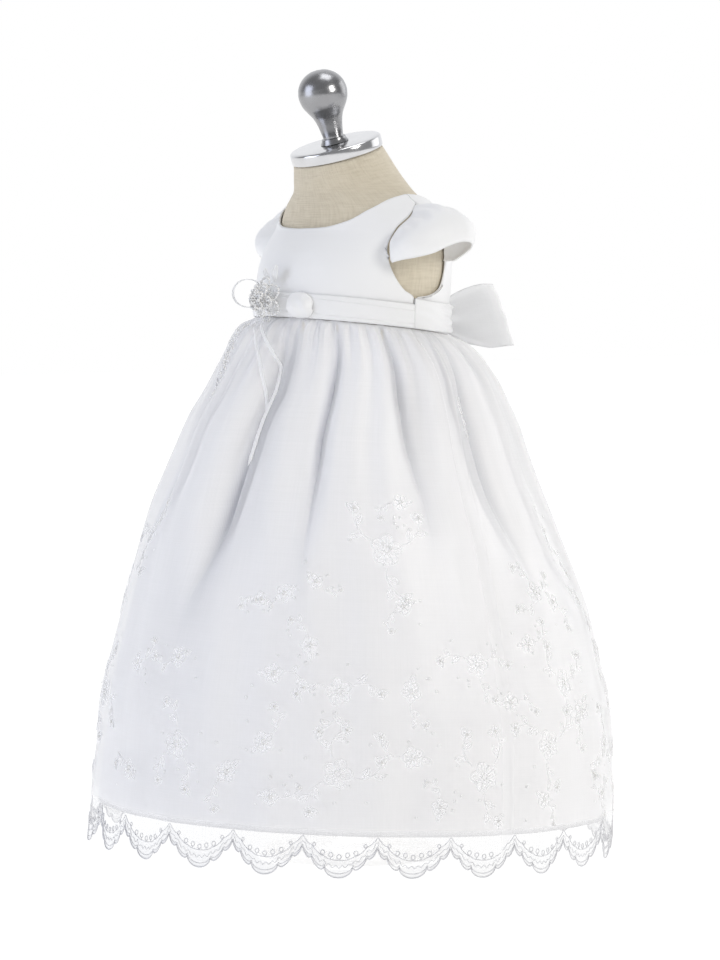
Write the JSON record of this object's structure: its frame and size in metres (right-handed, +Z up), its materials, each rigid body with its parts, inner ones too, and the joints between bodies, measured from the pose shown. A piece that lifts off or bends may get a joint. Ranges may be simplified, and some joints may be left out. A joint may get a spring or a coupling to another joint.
{
  "type": "christening gown on infant dress form",
  "caption": "Long white christening gown with cap sleeves, satin sash, back bow and embroidered scalloped organza over satin, on a limbless linen infant dress form.",
  "frame": {"origin": "centre of the underside of the stand's round foot, on the floor", "axes": "+Z up; the wearer's front faces -Y and the wearer's left is +X"},
  "size_m": [0.4077, 0.4095, 0.614],
  "materials": {
    "satin": "soft white satin",
    "organza": "sheer white organza with tonal embroidery",
    "lace": "embroidered sheer border",
    "ribbon_organza": "doubled organza",
    "linen": "natural woven linen",
    "beads": "clear and white beads",
    "polished_metal": "polished, slightly worn",
    "white_paint": "white enamel"
  },
  "bodies": {
    "root": {"bodice_front": "satin", "bodice_back_left": "satin", "bodice_back_right": "satin", "sleeve_left": "satin", "sleeve_right": "satin", "underskirt_front_right": "satin", "underskirt_front_left": "satin", "underskirt_back_left": "satin", "underskirt_back_right": "satin", "overlay_front_right": "organza", "overlay_front_left": "organza", "overlay_back_left": "organza", "overlay_back_right": "organza", "lace_edge_front": "lace", "lace_edge_back": "lace", "sash_front": "satin", "sash_tie_left": "satin", "sash_tie_right": "satin", "bow_knot": "ribbon_organza", "bow_loop_left": "ribbon_organza", "bow_loop_right": "ribbon_organza", "bow_tail_left": "ribbon_organza", "bow_tail_right": "ribbon_organza", "corsage_flower": "beads", "corsage_petal_left": "lace", "corsage_petal_right": "lace", "corsage_ribbon_loop": "satin", "corsage_satin_loop": "satin", "corsage_ribbon_long": "satin", "corsage_ribbon_short": "satin", "corsage_spray": "beads", "form_torso": "linen", "form_neck_cap": "polished_metal", "form_finial": "polished_metal", "stand_pole": "white_paint", "stand_base": "white_paint"}
  },
  "joints": []
}
